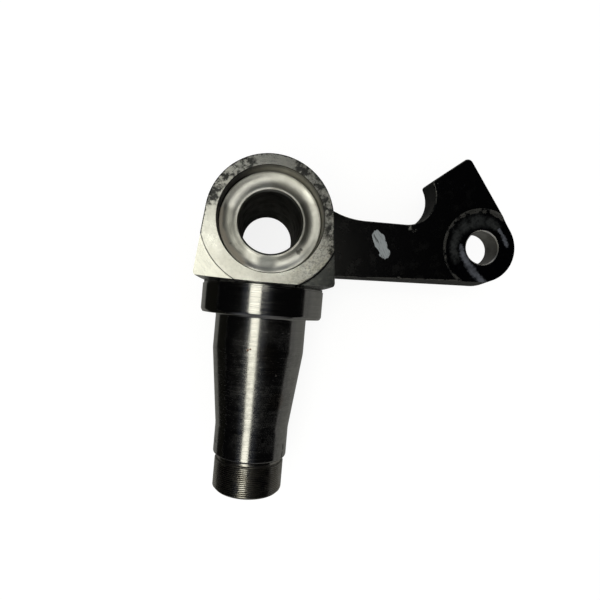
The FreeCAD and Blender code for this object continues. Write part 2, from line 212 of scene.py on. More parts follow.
def tinted(tree, mask, below, above):
    """One colour where the mask is 0 and another where it is 1."""
    colours = {0: mask, 6: below, 7: above}
    for key in (6, 7):
        if not isinstance(colours[key], bpy.types.NodeSocket):
            colours[key] = (*colours[key], 1)
    return add_node(tree, "ShaderNodeMix", colours, data_type="RGBA").outputs[2]


def layered(tree, colour, *coats):
    """The colour after each coat goes over it: the coat's colour, its mask and its strength."""
    for coat, mask, strength in coats:
        if strength < 1:
            mask = calc(tree, "MULTIPLY", mask, strength)
        colour = tinted(tree, mask, colour, coat)
    return colour


def new_group(name, inputs, outputs):
    """An empty shader node group with named sockets, and its two end nodes."""
    tree = bpy.data.node_groups.new(name, "ShaderNodeTree")
    for socket, kind in inputs.items():
        tree.interface.new_socket(socket, in_out="INPUT", socket_type=kind)
    for socket in outputs:
        tree.interface.new_socket(socket, in_out="OUTPUT", socket_type="NodeSocketFloat")
    start = tree.nodes.new("NodeGroupInput")
    end = tree.nodes.new("NodeGroupOutput")
    return tree, start.outputs, end.inputs


def use(tree, group, output="Mask", **sockets):
    """A group's mask, with its inputs given by name."""
    return add_node(tree, "ShaderNodeGroup", sockets=sockets, node_tree=group).outputs[output]


VECTOR, NUMBER = "NodeSocketVector", "NodeSocketFloat"

# Fine grooves that a cutting tool or a grinding wheel leaves, side by side along Across
ALONG_THE_GROOVES = (40, 40, 40)

tool_marks, given, result = new_group(
    "tool_marks", {"Position": VECTOR, "Across": NUMBER, "Spacing": NUMBER}, ("Mask",)
)
groove = calc(tool_marks, "DIVIDE", given["Across"], given["Spacing"])
stretched = vector_calc(tool_marks, "MULTIPLY", given["Position"], ALONG_THE_GROOVES)
parts = add_node(tool_marks, "ShaderNodeSeparateXYZ", {0: stretched}).outputs
lined_up = add_node(
    tool_marks, "ShaderNodeCombineXYZ", {"X": parts["X"], "Y": groove, "Z": parts["Z"]}
)
lines = add_node(
    tool_marks, "ShaderNodeTexNoise",
    {"Vector": lined_up.outputs[0], "Scale": 1.0, "Detail": 3.0, "Roughness": 0.6},
)
grooved = fade(tool_marks, lines.outputs["Fac"], low=0.3, high=0.7)
tool_marks.links.new(grooved, result["Mask"])

# Cloudy unevenness: smears of oil, thin spots, haze
clouds, given, result = new_group(
    "clouds", {"Position": VECTOR, "Size": NUMBER, "Share": NUMBER, "Edge": NUMBER}, ("Mask",)
)
closeness = calc(clouds, "DIVIDE", 1.0, given["Size"])
cloud = add_node(
    clouds, "ShaderNodeTexNoise",
    {"Vector": given["Position"], "Scale": closeness, "Detail": 5.0, "Roughness": 0.62},
)
level = calc(clouds, "SUBTRACT", 1.0, given["Share"])
low = calc(clouds, "SUBTRACT", level, given["Edge"])
high = calc(clouds, "ADD", level, given["Edge"])
clouds.links.new(fade(clouds, cloud.outputs["Fac"], low, high), result["Mask"])

# A mark at one place or a stroke from there to another one, with a ragged rim
SHRED_SCALE = 900.0
MARK_RIM = 1.1

mark_at, given, result = new_group(
    "mark_at",
    {
        "Position": VECTOR,
        "Place": VECTOR,
        "Stroke": VECTOR,
        "Reach": NUMBER,
        "Ragged": NUMBER,
        "Soft": NUMBER,
    },
    ("Mask",),
)
shred = add_node(
    mark_at, "ShaderNodeTexNoise",
    {"Vector": given["Position"], "Scale": SHRED_SCALE, "Detail": 3.0},
)
centred = calc(mark_at, "SUBTRACT", shred.outputs["Fac"], 0.5)
apart = vector_calc(mark_at, "SUBTRACT", given["Position"], given["Place"])
gone = vector_calc(mark_at, "DOT_PRODUCT", apart, given["Stroke"], "Value")
whole = vector_calc(mark_at, "DOT_PRODUCT", given["Stroke"], given["Stroke"], "Value")
share_gone = add_node(
    mark_at, "ShaderNodeMath", {0: gone, 1: whole}, operation="DIVIDE", use_clamp=True
)
nearest = add_node(
    mark_at, "ShaderNodeVectorMath",
    {0: given["Stroke"], "Scale": share_gone.outputs[0]}, operation="SCALE",
)
off = vector_calc(mark_at, "DISTANCE", apart, nearest.outputs[0], "Value")
shift = calc(mark_at, "MULTIPLY", centred, given["Ragged"])
ragged_distance = calc(mark_at, "ADD", off, shift)
share = calc(mark_at, "DIVIDE", ragged_distance, given["Reach"])
full_at = calc(mark_at, "SUBTRACT", MARK_RIM, given["Soft"])
mark_at.links.new(fade(mark_at, share, MARK_RIM, full_at), result["Mask"])


def grooves(tree, position, across, spacing):
    """Tool marks at that spacing in mm along a measure of the surface."""
    return use(tree, tool_marks, Position=position, Across=across, Spacing=spacing * MM)


def cloudy(tree, position, size, share, edge):
    """Cloudy patches of that size in mm on that share of the surface."""
    return use(tree, clouds, Position=position, Size=size * MM, Share=share, Edge=edge)


def stroke_at(tree, position, place, stroke, reach, ragged, soft):
    """One stroke from a place, with all its measures in mm."""
    return use(
        tree, mark_at, Position=position, Place=Vector(place) * MM, Stroke=Vector(stroke) * MM,
        Reach=reach * MM, Ragged=ragged * MM, Soft=soft,
    )


def marks(tree, position, places, ragged, soft=0.6):
    """One mask for several marks, each given as x, y, z, reach in mm."""
    return either(tree, 0.0, *(
        stroke_at(tree, position, place, (0, 0, 0), reach, ragged, soft)
        for *place, reach in places
    ))


def strokes(tree, position, line, ragged, soft=0.9):
    """One mask for a stroke along a line of places, each given as x, y, z, reach in mm."""
    return either(tree, 0.0, *(
        stroke_at(tree, position, place, Vector(onward) - Vector(place), reach, ragged, soft)
        for (*place, reach), (*onward, _) in zip(line, line[1:])
    ))


def new_material(name, metal):
    """A material with its Principled surface, and the piece's own coordinates."""
    made = bpy.data.materials.new(name)
    made.use_nodes = True
    tree = made.node_tree
    surface = tree.nodes["Principled BSDF"]
    surface.inputs["Metallic"].default_value = metal
    position = add_node(tree, "ShaderNodeTexCoord").outputs["Object"]
    return made, tree, surface.inputs, position


def dress(tree, sockets, colour, roughness, height, depth):
    """Colour, roughness and a bump of that depth on a material's surface."""
    tree.links.new(colour, sockets["Base Color"])
    tree.links.new(roughness, sockets["Roughness"])
    relief = {"Height": height, "Distance": depth, "Strength": 1.0}
    bump = add_node(tree, "ShaderNodeBump", relief)
    tree.links.new(bump.outputs["Normal"], sockets["Normal"])


def radius_about(tree, position, axis="Z"):
    """How far the place is from an axis through the origin."""
    keep = {"Z": (1, 1, 0), "Y": (1, 0, 1)}[axis]
    flat = vector_calc(tree, "MULTIPLY", position, keep)
    return vector_calc(tree, "LENGTH", flat, output="Value")


# Faced ends of the boss and the turned front: fine arcs, dark handling smears, a few nicks,
# and black paint that creeps in over the rim. The smears and grimy patches on the right side
# and the band at the foot of the step are painted shade.
STEEL = (0.6, 0.603, 0.58)
FILMED_STEEL = (0.53, 0.525, 0.495)
DULL_STEEL = (0.3, 0.3, 0.29)
CORNER_STEEL = (0.45, 0.45, 0.425)
YELLOWED_STEEL = (0.5, 0.45, 0.32)
GRIME_AND_SHADE_STEEL = (0.2, 0.2, 0.195)
RIGHT_CORNER_GREY = (0.07, 0.074, 0.076)
SHADOW_AT_STEP = (0.003, 0.003, 0.003)
CREPT_PAINT = (0.02, 0.02, 0.022)
OILY_AND_SHADE = (0.022, 0.023, 0.026)

BOSS_CENTRE = Vector((-0.45, 0.4, 0)) * MM
BOSS_RADIUS = 30.5 * MM
SIDE_ANGLE = math.radians(6)
# Dark oily smears, x, y, z and reach in mm: those at the upper left are real smears, those on the
# right are painted shade
SMEAR_AND_SHADE_PLACES = (
    (-21.0, 18.5, 39, 7.0),
    (-13.0, 25.0, 39, 5.0),
    (-29.0, 7.6, 39, 5.0),
    (-26.0, 12.0, 39, 3.5),
    (13.5, 25.2, 39, 6.5),
    (22.0, 18.0, 39, 7.0),
    (27.5, 9.0, 39, 7.0),
    (30.5, -3.0, 39, 6.0),
    (31.0, -12.0, 39, 3.5),
)


def from_boss_centre(tree, position):
    """How far out the place is in the boss's outline: a round back and slanting sides."""
    place = vector_calc(tree, "SUBTRACT", position, BOSS_CENTRE)
    aside = calc(tree, "ABSOLUTE", part_of(tree, place, "X"))
    back = part_of(tree, place, "Y")
    cosine, sine = math.cos(SIDE_ANGLE), math.sin(SIDE_ANGLE)
    out = summed(tree, 0.0, (aside, cosine), (back, sine))
    up = calc(tree, "MAXIMUM", summed(tree, 0.0, (back, cosine), (aside, -sine)), 0.0)
    return calc(tree, "SQRT", calc(tree, "ADD", both(tree, out, out), both(tree, up, up)))


machined_steel, tree, surface, position = new_material("machined_steel", 1.0)
from_axis = radius_about(tree, position)
to_right = part_of(tree, position, "X")
to_back = part_of(tree, position, "Y")
height = part_of(tree, position, "Z")
arcs = grooves(tree, position, from_axis, spacing=0.16)
smears = cloudy(tree, position, size=3.2, share=0.53, edge=0.08)
handled = cloudy(tree, position, size=1.6, share=0.45, edge=0.2)
film = cloudy(tree, position, size=11, share=0.5, edge=0.2)
nicks = cloudy(tree, position, size=0.7, share=0.3, edge=0.02)
# Grime and painted shade: grimy patches that darken the right side of the boss end
grime_and_shade = cloudy(tree, position, size=0.9, share=0.47, edge=0.1)
yellowed = cloudy(tree, position, size=5, share=0.45, edge=0.12)
smudge_and_shade = both(tree, smears, marks(tree, position, SMEAR_AND_SHADE_PLACES, ragged=5.0))
below_face = fade(tree, height, 38.5 * MM, 38.2 * MM)
on_corner = both(tree, below_face, fade(tree, from_axis, 33.3 * MM, 33.7 * MM))
right_side = fade(tree, to_right, 4 * MM, 22 * MM)
right_corner = both(tree, on_corner, fade(tree, to_right, 7 * MM, 12 * MM))
# The right corner face outside the disc is coloured dark grey, a little unevenly
darker_right_corner = both(tree, right_corner, fade(tree, handled, 0.0, 1.0, at_low=0.97, at_high=0.8))
# Painted shadow: a near-black band at the foot of the step round the right corner
shadow_at_step = both(tree, right_corner, fade(tree, from_axis, 34.8 * MM, 34.2 * MM))
front_right = both(tree, right_side, fade(tree, to_back, 2 * MM, -14 * MM))
creeping = summed(tree, from_boss_centre(tree, position), (handled, 0.5 * MM))
near_rim = fade(tree, creeping, BOSS_RADIUS - 0.5 * MM, BOSS_RADIUS - 0.1 * MM)
edge_paint = both(tree, near_rim, calc(tree, "SUBTRACT", 1.0, on_corner))
colour = layered(
    tree, tinted(tree, film, STEEL, FILMED_STEEL),
    (DULL_STEEL, handled, 0.35),
    (CORNER_STEEL, on_corner, 1),
    (YELLOWED_STEEL, both(tree, front_right, yellowed), 0.35),
    (GRIME_AND_SHADE_STEEL, both(tree, right_side, grime_and_shade), 0.75),
    (RIGHT_CORNER_GREY, darker_right_corner, 1),
    (SHADOW_AT_STEP, shadow_at_step, 1),
    (CREPT_PAINT, edge_paint, 0.9),
    (DULL_STEEL, nicks, 0.5),
    (OILY_AND_SHADE, smudge_and_shade, 0.9),
)
roughness = summed(tree, 0.25, (arcs, 0.05), (film, 0.07), (on_corner, -0.07), (smudge_and_shade, 0.2))
dress(tree, surface, colour, roughness, height=arcs, depth=0.0012 * MM)

# Thrust seat: turned, with a dull worn track, a dark pit and a witness patch on its floor;
# darker arcs on the floor, the wall and the ring round the bore are painted shade, and
# near-white arcs on the floor are painted highlight
SEAT_STEEL = (0.68, 0.68, 0.655)
RUBBED_STEEL = (0.56, 0.555, 0.525)
SHADE_ARC_STEEL = (0.24, 0.24, 0.225)
HIGHLIGHT_STEEL = (0.95, 0.95, 0.93)
WITNESS_STEEL = (0.42, 0.435, 0.44)
WALL_SHADE = (0.25, 0.235, 0.18)
WALL_TOP_SHADE = (0.05, 0.047, 0.04)
LEFT_WALL_SHADOW = (0.012, 0.012, 0.01)
TAN_DIRT = (0.42, 0.375, 0.29)
SHADED_BORE_RIM = (0.2, 0.2, 0.19)
PIT_STEEL = (0.1, 0.098, 0.09)

HATCH_RADIUS = 21 * MM
PIT_PLACES = ((15.2, -13.3, 29, 1.5), (16.2, -12.0, 29, 1.0), (-18.5, -12.0, 29.4, 0.8))
WITNESS_PLACE = ((0, -20.2, 29, 5.0),)
# Painted shade: darker arcs on the seat floor, at the left and on the inner right
SHADE_ARC_LEFT = ((-22.0, 3.0, 29, 6.0), (-20.5, -7.0, 29, 6.0), (-15.0, -14.0, 29, 5.0))
SHADE_ARC_RIGHT = ((17.0, -7.0, 29, 3.6), (18.5, 1.0, 29, 3.6), (16.0, 10.0, 29, 3.6))
# Painted highlight: near-white arcs on the seat floor, at the back left and at the front
HIGHLIGHT_ARC_BACK = ((-19.0, 9.0, 29, 4.5), (-13.0, 15.0, 29, 5.0), (-4.0, 18.5, 29, 3.6))
HIGHLIGHT_ARC_FRONT = ((-5.0, -22.0, 29, 4.0), (6.0, -22.0, 29, 4.5), (15.0, -17.0, 29, 4.0))
DIRT_LINE = (
    (-24.4, 4.0, 29, 1.6),
    (-24.0, -5.0, 29, 2.2),
    (-20.0, -13.5, 29, 2.4),
    (-12.0, -21.0, 29, 2.0),
)

seat_steel, tree, surface, position = new_material("seat_steel", 1.0)
from_axis = radius_about(tree, position)
to_right = part_of(tree, position, "X")
to_back = part_of(tree, position, "Y")
height = part_of(tree, position, "Z")
round_the_seat = calc(tree, "MULTIPLY", calc(tree, "ARCTAN2", to_back, to_right), HATCH_RADIUS)
rings = grooves(tree, position, from_axis, spacing=0.22)
hatch = grooves(tree, position, round_the_seat, spacing=0.35)
track = cloudy(tree, position, size=9, share=0.5, edge=0.2)
grit = cloudy(tree, position, size=0.9, share=0.27, edge=0.03)
pits = marks(tree, position, PIT_PLACES, ragged=1.6)
witness = marks(tree, position, WITNESS_PLACE, ragged=0.8)
shade_arcs = either(
    tree,
    strokes(tree, position, SHADE_ARC_LEFT, ragged=2.0),
    strokes(tree, position, SHADE_ARC_RIGHT, ragged=1.5),
)
highlight_arcs = either(
    tree,
    strokes(tree, position, HIGHLIGHT_ARC_BACK, ragged=2.0),
    strokes(tree, position, HIGHLIGHT_ARC_FRONT, ragged=2.0),
)
old_dirt = strokes(tree, position, DIRT_LINE, ragged=1.6)
# Painted shade: the counterbore wall is coloured darker and browner than the floor, and darker
# still towards its top
on_wall = fade(tree, from_axis, 24.8 * MM, 25.3 * MM)
wall_top = both(tree, on_wall, fade(tree, height, 33.5 * MM, 37.5 * MM))
# Painted shadow: the left part of the counterbore wall is coloured near black
shaded_left_wall = both(tree, on_wall, fade(tree, to_right, -7 * MM, -17 * MM))
# Painted shade: the lead-in ring round the bore is coloured darker
at_bore = fade(tree, from_axis, 16.6 * MM, 16.3 * MM)
colour = layered(
    tree, tinted(tree, track, SEAT_STEEL, RUBBED_STEEL),
    (SHADE_ARC_STEEL, shade_arcs, 0.75),
    (HIGHLIGHT_STEEL, highlight_arcs, 0.9),
    (WITNESS_STEEL, witness, 0.75),
    (DULL_STEEL, grit, 0.6),
    (WALL_SHADE, on_wall, 0.8),
    (WALL_TOP_SHADE, wall_top, 0.8),
    (TAN_DIRT, old_dirt, 0.85),
    (LEFT_WALL_SHADOW, shaded_left_wall, 0.92),
    (SHADED_BORE_RIM, at_bore, 0.75),
    (PIT_STEEL, pits, 0.85),
)
hatched = both(tree, hatch, fade(tree, track, 0.0, 1.0, at_low=0.25, at_high=0.9))
turned_marks = calc(tree, "ADD", rings, hatched)
roughness = summed(tree, 0.31, (turned_marks, 0.09), (track, 0.1), (witness, 0.12))
tree.links.new(summed(tree, 1.0, (old_dirt, -0.75)), surface["Metallic"])
dress(tree, surface, colour, roughness, height=turned_marks, depth=0.002 * MM)

# Kingpin bore: bored and honed, dark with old grease
BORED_STEEL = (0.1, 0.098, 0.092)
GREASED_STEEL = (0.055, 0.052, 0.047)
BORE_RIDGES = (0.14, 0.137, 0.13)

bore_steel, tree, surface, position = new_material("bore_steel", 1.0)
feed = grooves(tree, position, part_of(tree, position, "Z"), spacing=0.35)
grease = cloudy(tree, position, size=8, share=0.5, edge=0.15)
colour = layered(
    tree, tinted(tree, grease, BORED_STEEL, GREASED_STEEL), (BORE_RIDGES, feed, 0.3)
)
roughness = summed(tree, 0.3, (feed, 0.12), (grease, 0.15))
dress(tree, surface, colour, roughness, height=feed, depth=0.004 * MM)

# Hole for the link pin: reamed, brighter than the bore
REAMED_STEEL = (0.26, 0.256, 0.24)
STAINED_STEEL = (0.14, 0.134, 0.12)
REAMED_RIDGES = (0.36, 0.355, 0.335)
MOUTH_STEEL = (0.85, 0.84, 0.8)

eye_steel, tree, surface, position = new_material("eye_steel", 1.0)
height = part_of(tree, position, "Z")
feed = grooves(tree, position, height, spacing=0.3)
stain = cloudy(tree, position, size=5, share=0.45, edge=0.15)
at_mouth = fade(tree, height, 13.5 * MM, 13.7 * MM)
colour = layered(
    tree, tinted(tree, stain, REAMED_STEEL, STAINED_STEEL),
    (REAMED_RIDGES, feed, 0.3),
    (MOUTH_STEEL, at_mouth, 1),
)
roughness = summed(tree, 0.3, (feed, 0.12))
dress(tree, surface, colour, roughness, height=feed, depth=0.01 * MM)

# Black enamel sprayed over the forging's skin, chipped along the rims, with painted reflections
# in the recess round the eye, a film of dirt on the boss and one dab of silver paint on the arm
PAINT_BLACK = (0.0005, 0.0005, 0.0008)
PAINT_DUST = (0.006, 0.007, 0.0095)
DULL_REFLECTION = (0.028, 0.03, 0.03)
BRIGHT_REFLECTION = (0.08, 0.085, 0.1)
ROAD_FILM = (0.022, 0.022, 0.023)
BARE_EDGE = (0.11, 0.108, 0.1)
DAB_SILVER = (0.33, 0.36, 0.38)
PAINT_SPECULAR = 0.35

DAB_TURN = math.radians(-62)
DAB_LENGTH = 16.0 * MM
DAB_WIDTH = 6.4 * MM
DAB_PLACE = Vector((60.4, -3.2, 16)) * MM
DAB_SQUARENESS = 3.0
BRISTLE_SCALES = (110, 1500, 500)
RECESS_MIDDLE = EYE_CENTRE + Vector((0, 0, 15 * MM))
SCRATCHED_PLACES = (
    (75.6, 7.4, 16, 1.3),
    (77.8, 6.0, 16, 0.9),
    (88.8, 32.2, 16, 1.0),
    (84.6, 29.6, 16, 0.8),
    (72.0, -20.2, 16, 1.1),
    (95.0, -20.6, 15.6, 1.6),
    (101.0, -20.6, 15.6, 1.5),
)
# Painted reflections in the glossy recess round the eye: a bright streak, glints on the right and
# a dull pale arc, each a line of places x, y, z and reach in mm
BRIGHT_LINE = (
    (106.0, 0.5, 14.2, 1.6),
    (107.6, -4.0, 14.2, 2.2),
    (111.0, -9.0, 14.2, 2.6),
    (115.0, -13.5, 14.2, 2.4),
    (120.5, -18.0, 14.2, 2.0),
)
GLINT_LINE = ((127.5, 12.0, 14.2, 1.2), (130.5, 8.0, 14.2, 1.6), (132.6, 4.0, 14.2, 1.0))
DULL_LINE = (
    (103.5, -7.0, 14.4, 3.0),
    (101.8, 1.0, 14.4, 3.4),
    (103.8, 8.5, 14.3, 4.2),
    (108.5, 13.0, 14.2, 4.6),
    (115.0, 15.8, 14.2, 4.0),
    (122.0, 15.5, 14.2, 3.0),
    (126.0, 13.5, 14.2, 2.0),
)

black_paint, tree, surface, position = new_material("black_paint", 0.0)
to_right = part_of(tree, position, "X")
height = part_of(tree, position, "Z")
upward = calc(tree, "ABSOLUTE", part_of(tree, position.node.outputs["Normal"], "Z"))
side_wall = fade(tree, upward, 0.45, 0.15)
on_rim = both(tree, fade(tree, upward, 0.25, 0.5), fade(tree, upward, 0.985, 0.9))
worn = cloudy(tree, position, size=3.5, share=0.5, edge=0.07)
dust = cloudy(tree, position, size=0.8, share=0.34, edge=0.04)
scuffs = cloudy(tree, position, size=6, share=0.4, edge=0.08)
reflection_breakup = cloudy(tree, position, size=4.5, share=0.55, edge=0.22)
film = cloudy(tree, position, size=7, share=0.5, edge=0.2)
chips = both(tree, on_rim, worn)
scratches = both(tree, marks(tree, position, SCRATCHED_PLACES, ragged=3.5), worn)
bright = either(
    tree,
    strokes(tree, position, BRIGHT_LINE, ragged=2.5),
    strokes(tree, position, GLINT_LINE, ragged=2.5),
)
bright = both(tree, bright, fade(tree, reflection_breakup, 0.0, 1.0, at_low=0.45, at_high=1.0))
dull = both(tree, strokes(tree, position, DULL_LINE, ragged=3.0, soft=1.1), reflection_breakup)
from_eye = vector_calc(tree, "DISTANCE", position, RECESS_MIDDLE, "Value")
in_recess = both(
    tree,
    fade(tree, height, 15.9 * MM, 15.3 * MM),
    fade(tree, height, 13.6 * MM, 14.1 * MM),
    fade(tree, upward, 0.3, 0.7),
    fade(tree, from_eye, 25 * MM, 23 * MM),
)
on_boss = fade(tree, to_right, 40 * MM, 32 * MM)
film_depth = fade(tree, film, 0.0, 1.0, at_low=0.55, at_high=1.0)
filmed = both(tree, side_wall, on_boss, film_depth)

from_dab = vector_calc(tree, "SUBTRACT", position, DAB_PLACE)
along_dab = add_node(
    tree, "ShaderNodeVectorRotate", {"Vector": from_dab, "Angle": -DAB_TURN},
    rotation_type="Z_AXIS",
).outputs[0]
brushed = vector_calc(tree, "MULTIPLY", along_dab, BRISTLE_SCALES)
bristles = add_node(
    tree, "ShaderNodeTexNoise", {"Vector": brushed, "Scale": 1.0, "Detail": 3.0}
).outputs["Fac"]
shreds = add_node(
    tree, "ShaderNodeTexNoise", {"Vector": position, "Scale": 380.0, "Detail": 3.0}
).outputs["Fac"]
far_along = calc(tree, "DIVIDE", part_of(tree, along_dab, "X"), DAB_LENGTH / 2)
far_across = calc(tree, "DIVIDE", part_of(tree, along_dab, "Y"), DAB_WIDTH / 2)
off_middle = calc(
    tree, "ADD",
    calc(tree, "POWER", calc(tree, "ABSOLUTE", far_along), DAB_SQUARENESS),
    calc(tree, "POWER", calc(tree, "ABSOLUTE", far_across), DAB_SQUARENESS),
)
ragged_rim = summed(
    tree, off_middle,
    (calc(tree, "SUBTRACT", bristles, 0.5), 1.1),
    (calc(tree, "SUBTRACT", shreds, 0.5), 2.2),
)
dab = both(
    tree,
    fade(tree, ragged_rim, 1.05, 0.9),
    fade(tree, part_of(tree, along_dab, "Z"), -1.0 * MM, -0.3 * MM),
    fade(tree, upward, 0.8, 0.95),
    fade(tree, bristles, 0.34, 0.46),
)

colour = layered(
    tree, tinted(tree, dust, PAINT_BLACK, PAINT_DUST),
    (DULL_REFLECTION, both(tree, dull, in_recess), 1),
    (BRIGHT_REFLECTION, both(tree, bright, in_recess), 1),
    (ROAD_FILM, filmed, 1),
    (BARE_EDGE, chips, 1),
    (BARE_EDGE, scratches, 1),
    (DAB_SILVER, dab, 1),
)
roughness = summed(
    tree, 0.24, (scuffs, 0.12), (dab, 0.15), (in_recess, -0.14), (side_wall, 0.34)
)
metal = either(tree, calc(tree, "MULTIPLY", chips, 0.8), calc(tree, "MULTIPLY", dab, 0.35))
tree.links.new(metal, surface["Metallic"])
surface["Specular IOR Level"].default_value = PAINT_SPECULAR
skin = add_node(
    tree, "ShaderNodeTexNoise", {"Vector": position, "Scale": 700.0, "Detail": 4.0}
).outputs["Fac"]
swirl = add_node(
    tree, "ShaderNodeTexWave",
    {"Vector": position, "Scale": 60.0, "Distortion": 9.0, "Detail": 2.0, "Detail Scale": 1.2},
).outputs["Fac"]
relief = summed(tree, skin, (both(tree, swirl, in_recess), 4.0), (both(tree, dab, bristles), 3.0))
dress(tree, surface, colour, roughness, height=relief, depth=0.03 * MM)

for finish in (machined_steel, seat_steel, bore_steel, black_paint, eye_steel):
    forging.data.materials.append(finish)
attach(forging, "root")
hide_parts(WHOLE)


# The spindle: collar, inner journal, taper, outer journal and the neck behind the thread.
# It is turned from the same forging, and collar and journals are ground to size.

STEPS_AROUND = 160
ROUNDING_SEGMENTS = 4

# Radius, place along the spindle and how far the corner is rounded, in mm
SPINDLE_LINE = (
    (0.0, -31.0, 0.0),
    (32.8, -31.0, 0.0),
    (32.8, -31.6, 0.0),
    (33.3, -31.6, 0.2),
    (33.3, -45.4, 0.5),
    (32.4, -47.0, 0.35),
    (25.0, -47.0, 1.2),
    (25.0, -66.2, 1.0),
    (20.05, -107.2, 1.0),
    (20.05, -122.2, 0.3),
    (19.05, -123.2, 0.15),
    (17.8, -123.2, 0.2),
    (17.8, -124.1, 0.0),
    (0.0, -124.1, 0.0),
)

turned = bmesh.new()
line_points = [turned.verts.new((radius * MM, y * MM, 0)) for radius, y, _ in SPINDLE_LINE]
for pair in zip(line_points, line_points[1:]):
    turned.edges.new(pair)
for point, (_, _, rounding) in zip(line_points, SPINDLE_LINE):
    if rounding:
        bmesh.ops.bevel(
            turned,
            geom=[point],
            offset=rounding * MM,
            segments=ROUNDING_SEGMENTS,
            profile=0.5,
            affect="VERTICES",
            material=-1,
        )
bmesh.ops.spin(
    turned,
    geom=turned.verts[:] + turned.edges[:],
    cent=(0, 0, 0),
    axis=(0, 1, 0),
    angle=math.tau,
    steps=STEPS_AROUND,
    use_merge=True,
)
bmesh.ops.remove_doubles(turned, verts=turned.verts, dist=MERGE_WITHIN)
bmesh.ops.recalc_face_normals(turned, faces=turned.faces)
smooth_where_soft(turned)
spindle = new_piece("spindle", turned)
spindle.modifiers.new("even_faces", "WEIGHTED_NORMAL").keep_sharp = True

GROUND_STEEL = (0.40, 0.395, 0.38)
GROUND_STREAK = (0.27, 0.27, 0.27)
PATCHED_STEEL = (0.17, 0.168, 0.16)
HAZED_STEEL = (0.34, 0.335, 0.32)
BROWNED_STEEL = (0.22, 0.17, 0.13)
SPECK = (0.09, 0.085, 0.078)
SCORE = (0.04, 0.04, 0.042)
RUST = (0.16, 0.075, 0.035)

HAZY_PLACES = (
    (-8.5, -60.5, 23.5, 7.5),
    (5.5, -53.5, 24.5, 7.0),
    (12.0, -57.5, 21.5, 6.5),
    (-7.5, -86.0, 21.1, 8.0),
    (4.5, -87.0, 22.2, 8.0),
    (-9.0, -74.0, 21.5, 6.0),
    (6.5, -101.0, 19.8, 8.0),
    (8.5, -112.4, 18.2, 6.0),
    (-7.0, -113.0, 18.5, 5.0),
)
RUSTY_PLACES = ((9.3, -76.2, 21.1, 0.9), (-5.6, -64.1, 24.4, 0.7), (-4.4, -63.6, 24.6, 0.5))
BROWN_PLACES = ((11.1, -90.4, 19.0, 6.0), (5.5, -66.0, 24.0, 6.5), (7.5, -73.0, 22.5, 5.0))
SCORED_PLACES = ((6.2, -110.8, 19.0, 1.2), (-18.8, -116.0, 7.0, 1.1), (-19.0, -114.0, 6.4, 0.8))
UPPER_NICK = ((17.5, -115.2, 9.8, 0.7), (17.6, -117.2, 9.6, 0.6))
LOWER_NICK = ((17.4, -118.8, 10.0, 0.6), (17.1, -121.6, 10.5, 0.8))

ground_steel, tree, surface, position = new_material("ground_steel", 1.0)
along = part_of(tree, position, "Y")
streaks = grooves(tree, position, along, spacing=0.3)
fine_streaks = grooves(tree, position, along, spacing=0.09)
mottle = cloudy(tree, position, size=2.2, share=0.5, edge=0.12)
haze = cloudy(tree, position, size=4, share=0.5, edge=0.2)
specks = cloudy(tree, position, size=0.55, share=0.3, edge=0.03)
patches = cloudy(tree, position, size=3.0, share=0.5, edge=0.14)
past_taper_start = fade(tree, along, -65.4 * MM, -66.6 * MM)
before_taper_end = fade(tree, along, -107.8 * MM, -106.8 * MM)
on_taper = both(tree, past_taper_start, before_taper_end)
off_collar = calc(tree, "SUBTRACT", 1.0, fade(tree, along, -48.0 * MM, -47.2 * MM))
oil_haze = both(tree, haze, marks(tree, position, HAZY_PLACES, ragged=6.0), 0.6)
specks = both(tree, specks, off_collar)
rust = marks(tree, position, RUSTY_PLACES, ragged=0.9)
brown = marks(tree, position, BROWN_PLACES, ragged=6.0)
scores = either(
    tree,
    marks(tree, position, SCORED_PLACES, ragged=2.0),
    strokes(tree, position, UPPER_NICK, ragged=1.0, soft=0.4),
    strokes(tree, position, LOWER_NICK, ragged=1.0, soft=0.4),
)
patchy = both(tree, patches, fade(tree, along, -60 * MM, -67 * MM, at_low=0.12, at_high=0.34))
colour = layered(
    tree, GROUND_STEEL,
    (GROUND_STREAK, streaks, 0.7),
    (PATCHED_STEEL, patchy, 1),
    (HAZED_STEEL, oil_haze, 0.4),
    (BROWNED_STEEL, brown, 0.45),
    (SPECK, specks, 0.85),
    (SCORE, scores, 1),
    (RUST, rust, 1),
)
roughness = summed(
    tree, 0.05,
    (streaks, 0.15),
    (both(tree, on_taper, mottle), 0.05),
    (off_collar, 0.04),
    (oil_haze, 0.09),
    (specks, 0.3),
    (rust, 0.4),
)
metal = summed(tree, 1.0, (either(tree, specks, rust), -0.6), (oil_haze, -0.03))
tree.links.new(metal, surface["Metallic"])
relief = summed(tree, streaks, (fine_streaks, 0.4))
dress(tree, surface, colour, roughness, height=relief, depth=0.002 * MM)
spindle.data.materials.append(ground_steel)
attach(spindle, "root")


# The threaded end, for the nut that holds the wheel bearings. It is the end of the same
# steel forging: a fine thread cut with a single point and bevelled at both ends, with the
# drilled centre that the lathe ran on.

NECK_CUT = -124.1 * MM
NECK_RADIUS = 17.8 * MM
THREAD_RADIUS = 18.85 * MM
THREAD_DEPTH = 0.52 * MM
THREAD_PITCH = 1.0 * MM
THREAD_START = -124.9 * MM
THREAD_END = -141.9 * MM
THREAD_BEVEL = 1.3 * MM
CREST_WIDTH = 0.28 * MM
ROOT_WIDTH = 0.14 * MM
STEPS_A_TURN = 90
SPARE_TURNS = 3
TURNS_AHEAD = 1.5
CENTRE_RADIUS = 2.0 * MM
CENTRE_TIP_RADIUS = 0.02 * MM
CONE_RADIUS = 4.25 * MM
CONE_DEPTH = 3.9 * MM
CENTRE_DEPTH = 9.0 * MM
CENTRE_TIP = 10.0 * MM


